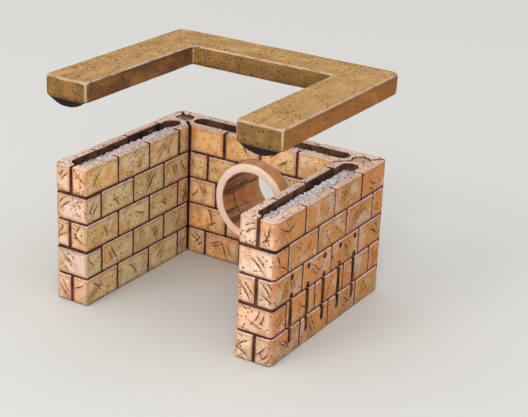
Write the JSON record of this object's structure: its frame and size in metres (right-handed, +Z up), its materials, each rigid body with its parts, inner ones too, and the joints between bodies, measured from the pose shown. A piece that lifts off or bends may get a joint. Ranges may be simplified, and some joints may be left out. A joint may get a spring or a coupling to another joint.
{
  "type": "culvert headwall retaining wall",
  "caption": "Precast retaining wall with wings round a culvert outlet, gravel-filled block-faced units, drain holes and a U-shaped cap stone that sets down on them",
  "frame": {"origin": "on the ground, under the middle of the whole object's box", "axes": "+X to the right for someone who faces the outlet, along the rear unit; +Y into the bank, away from the open front; +Z up"},
  "size_m": [1.83, 1.635, 1.62],
  "materials": {
    "block_stone": "matte",
    "gravel": "matte",
    "pipe": "matte",
    "cap": "matte"
  },
  "bodies": {
    "walls": {"left_wing_wall": "block_stone", "rear_wall": "block_stone", "right_wing_wall": "block_stone", "left_core_fill": "gravel", "rear_core_fill": "gravel", "right_core_fill": "gravel", "culvert_pipe": "pipe", "outlet_collar": "pipe"},
    "cap": {"cap_stone": "cap"}
  },
  "joints": [
    {"name": "cap_lift", "type": "slide", "parent": "walls", "child": "cap", "axis": [0, 0, 1], "range_m": [-0.462, 0]}
  ]
}
